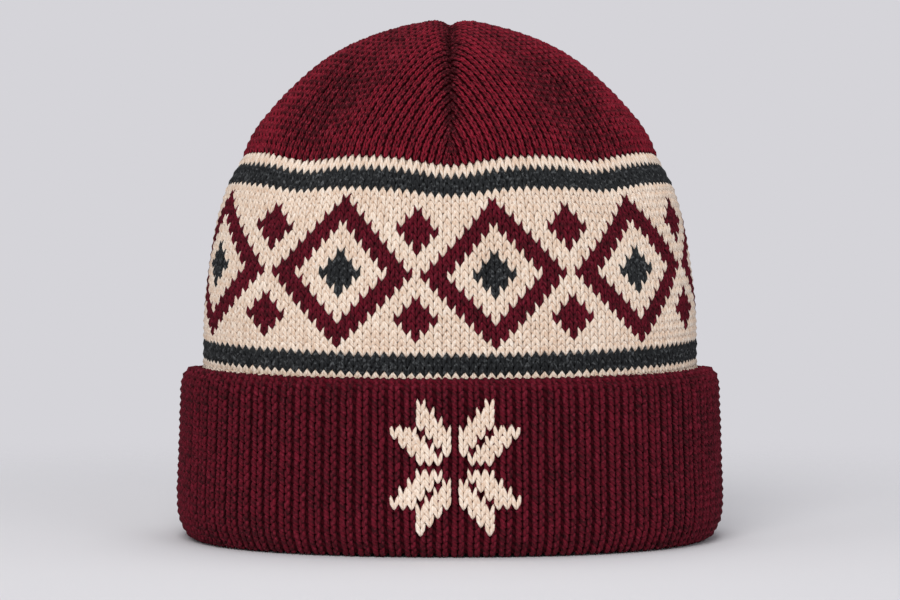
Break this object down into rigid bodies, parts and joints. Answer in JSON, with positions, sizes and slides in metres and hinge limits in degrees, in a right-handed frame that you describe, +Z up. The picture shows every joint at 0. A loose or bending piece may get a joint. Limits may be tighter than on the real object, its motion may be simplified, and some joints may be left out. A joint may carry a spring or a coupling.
{
  "type": "knitted beanie",
  "caption": "Knitted beanie with a darted dome crown, a diamond-patterned stranded band and a thick ribbed turn-up cuff with a knitted star.",
  "frame": {"origin": "centre of the oval ring that the folded edge rests on, at the surface", "axes": "+Z up through the crown, -Y out of the front with the star, +X to the right of someone who looks at the front"},
  "size_m": [0.201, 0.1608, 0.1892],
  "materials": {
    "burgundy_yarn": "soft matt burgundy wool blend, plain knit",
    "burgundy_rib": "soft matt burgundy wool blend, deep rib knit",
    "cream_yarn": "soft matt cream wool blend, plain knit",
    "charcoal_yarn": "soft matt charcoal wool blend with pale flecks, plain knit"
  },
  "bodies": {
    "root": {"crown": "burgundy_yarn", "patterned_band": "cream_yarn", "cuff": "burgundy_rib"}
  },
  "joints": []
}
